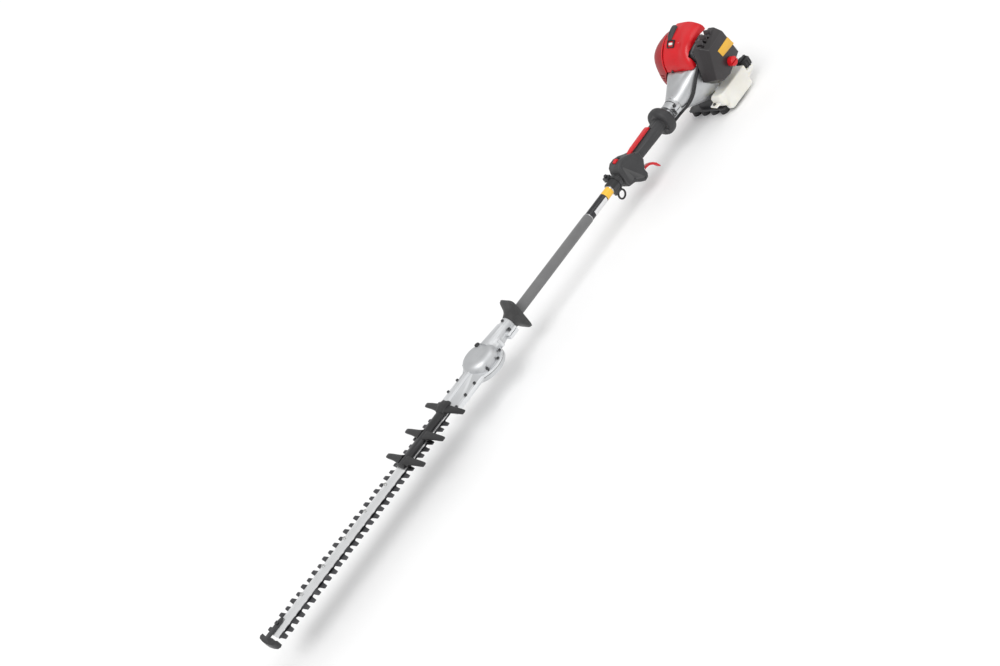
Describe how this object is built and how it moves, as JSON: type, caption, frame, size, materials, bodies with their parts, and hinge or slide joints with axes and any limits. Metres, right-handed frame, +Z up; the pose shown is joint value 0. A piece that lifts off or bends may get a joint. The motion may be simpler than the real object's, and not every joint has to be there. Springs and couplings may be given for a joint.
{
  "type": "long-reach hedge trimmer",
  "caption": "Petrol long-reach hedge trimmer with a double-sided blade, straight shaft, rear throttle grip and small engine.",
  "frame": {"origin": "under the middle of the tool's bounding box, on the plane its engine stand rests on", "axes": "+X along the shaft from the blade tip to the engine, +Z up, -Y the operator's left side"},
  "size_m": [1.909, 0.2236, 0.2335],
  "materials": {
    "silver_aluminium": "satin",
    "bright_steel": "brushed",
    "dark_steel": "satin",
    "cast_grey": "cast",
    "black_plastic": "matte",
    "black_rubber": "matte",
    "red_plastic": "gloss",
    "tank_plastic": "satin",
    "bronze": "satin",
    "filter_felt": "felt",
    "white_ceramic": "glazed"
  },
  "bodies": {
    "engine_and_shaft": {"tip_protector": "black_plastic", "guide_bar": "silver_aluminium", "blade_bolts": "bright_steel", "blade_nuts": "bright_steel", "small_screws": "dark_steel", "blade_guard": "black_plastic", "gear_case": "silver_aluminium", "gear_case_cover": "silver_aluminium", "gear_case_screws": "bright_steel", "clamp_screws": "bright_steel", "grease_plug": "bright_steel", "bearings": "bronze", "main_tube": "silver_aluminium", "shaft_bushes": "bronze", "hand_guard": "black_rubber", "grip_sleeve": "black_rubber", "harness_clamp": "black_plastic", "rear_grip_left": "black_plastic", "rear_grip_right": "black_plastic", "grip_screws": "dark_steel", "grip_pins": "dark_steel", "clutch_case": "silver_aluminium", "crankcase": "cast_grey", "cylinder": "silver_aluminium", "spark_plug": "white_ceramic", "plug_cap": "black_rubber", "engine_cover": "red_plastic", "muffler": "dark_steel", "muffler_cover": "red_plastic", "air_cleaner_case": "black_plastic", "air_cleaner_cover": "black_plastic", "air_filter": "filter_felt", "carburettor": "silver_aluminium", "fuel_tank": "tank_plastic", "engine_stand": "black_plastic", "recoil_housing": "black_plastic", "throttle_conduit": "black_rubber"},
    "upper_blade_body": {"upper_blade": "bright_steel"},
    "lower_blade_body": {"lower_blade": "bright_steel"},
    "trigger_body": {"throttle_trigger": "red_plastic"},
    "lockout_body": {"lockout_lever": "red_plastic"},
    "switch_body": {"stop_switch": "red_plastic"},
    "handle_body": {"starter_handle": "black_plastic"},
    "fuel_cap_body": {"fuel_cap": "black_plastic"},
    "knob_body": {"cover_knob": "red_plastic"},
    "reel_body": {"starter_reel": "black_plastic"},
    "carb_lever_body": {"carburettor_lever": "bright_steel"},
    "primer_body": {"primer_bulb": "black_rubber"},
    "crown_body": {"crown_gear": "dark_steel"},
    "drive_body": {"drive_shaft": "dark_steel", "pinion": "dark_steel", "clutch_drum": "dark_steel"},
    "crank_body": {"crankshaft": "dark_steel", "flywheel_fan": "silver_aluminium", "clutch_spring": "dark_steel", "starter_cup": "dark_steel"},
    "shoe_left_body": {"clutch_shoe_left": "dark_steel"},
    "shoe_right_body": {"clutch_shoe_right": "dark_steel"},
    "rod_body": {"connecting_rod": "dark_steel"},
    "piston_body": {"piston": "silver_aluminium"}
  },
  "joints": [
    {"name": "upper_blade_stroke", "type": "slide", "parent": "engine_and_shaft", "child": "upper_blade_body", "axis": [1, 0, 0], "range_m": [-0.008, 0.008]},
    {"name": "lower_blade_stroke", "type": "slide", "parent": "engine_and_shaft", "child": "lower_blade_body", "axis": [1, 0, 0], "range_m": [-0.008, 0.008]},
    {"name": "trigger_pull", "type": "hinge", "parent": "engine_and_shaft", "child": "trigger_body", "pos_m": [0.5225, 0.0148, 0.076], "axis": [0, -1, 0], "range_deg": [0, 22], "stiffness_Nm_per_rad": 0.6, "springref_deg": -20.05},
    {"name": "lockout_press", "type": "hinge", "parent": "engine_and_shaft", "child": "lockout_body", "pos_m": [0.5245, 0.0148, 0.1265], "axis": [0, 1, 0], "range_deg": [0, 2.5], "stiffness_Nm_per_rad": 0.8, "springref_deg": -14.32},
    {"name": "starter_pull", "type": "slide", "parent": "engine_and_shaft", "child": "handle_body", "axis": [0, 1, 0], "range_m": [0, 0.6], "stiffness_N_per_m": 6, "springref_m": -0.3},
    {"name": "fuel_cap_turn", "type": "hinge", "parent": "engine_and_shaft", "child": "fuel_cap_body", "pos_m": [0.9335, -0.0532, 0.06], "axis": [0, 0, 1], "range_deg": [0, 300]},
    {"name": "air_cover_knob_turn", "type": "hinge", "parent": "engine_and_shaft", "child": "knob_body", "pos_m": [0.8605, -0.0972, 0.123], "axis": [0, -1, 0], "range_deg": [0, 90]},
    {"name": "stop_switch_slide", "type": "slide", "parent": "engine_and_shaft", "child": "switch_body", "axis": [1, 0, 0], "range_m": [0, 0.006]},
    {"name": "primer_press", "type": "slide", "parent": "engine_and_shaft", "child": "primer_body", "axis": [-1, 0, 0], "range_m": [0, 0.004], "stiffness_N_per_m": 400, "springref_m": -0.001},
    {"name": "throttle_lever_turn", "type": "hinge", "parent": "engine_and_shaft", "child": "carb_lever_body", "pos_m": [0.8585, -0.0401, 0.145], "axis": [0, 0, -1], "range_deg": [0, 44]},
    {"name": "starter_reel_turn", "type": "hinge", "parent": "engine_and_shaft", "child": "reel_body", "pos_m": [0.9295, 0.0148, 0.108], "axis": [-1, 0, 0], "range_deg": [0, 1376]},
    {"name": "crank_turn", "type": "hinge", "parent": "engine_and_shaft", "child": "crank_body", "pos_m": [0.8695, 0.0148, 0.108], "axis": [1, 0, 0], "continuous": true},
    {"name": "connecting_rod_pivot", "type": "hinge", "parent": "crank_body", "child": "rod_body", "pos_m": [0.867, 0.0148, 0.121], "axis": [1, 0, 0], "continuous": true},
    {"name": "piston_stroke", "type": "slide", "parent": "engine_and_shaft", "child": "piston_body", "axis": [0, 0, -1], "range_m": [0, 0.026]},
    {"name": "clutch_shoe_left_out", "type": "slide", "parent": "crank_body", "child": "shoe_left_body", "axis": [0, -1, 0], "range_m": [0, 0.0012], "stiffness_N_per_m": 800, "springref_m": -0.001},
    {"name": "clutch_shoe_right_out", "type": "slide", "parent": "crank_body", "child": "shoe_right_body", "axis": [0, 1, 0], "range_m": [0, 0.0012]},
    {"name": "crown_gear_turn", "type": "hinge", "parent": "engine_and_shaft", "child": "crown_body", "pos_m": [-0.1505, 0.0148, 0.108], "axis": [0, 0, 1], "continuous": true},
    {"name": "drive_shaft_turn", "type": "hinge", "parent": "engine_and_shaft", "child": "drive_body", "pos_m": [0.2495, 0.0148, 0.108], "axis": [1, 0, 0], "continuous": true}
  ],
  "couplings": [
    {"joint": "lower_blade_stroke", "follows": "upper_blade_stroke", "ratio": -1},
    {"joint": "throttle_lever_turn", "follows": "trigger_pull", "ratio": 2},
    {"joint": "starter_reel_turn", "follows": "starter_pull", "rad_per_m": 40},
    {"joint": "connecting_rod_pivot", "follows": "crank_turn", "ratio": -1},
    {"joint": "clutch_shoe_right_out", "follows": "clutch_shoe_left_out", "ratio": 1},
    {"joint": "crown_gear_turn", "follows": "drive_shaft_turn", "ratio": 0.3}
  ]
}
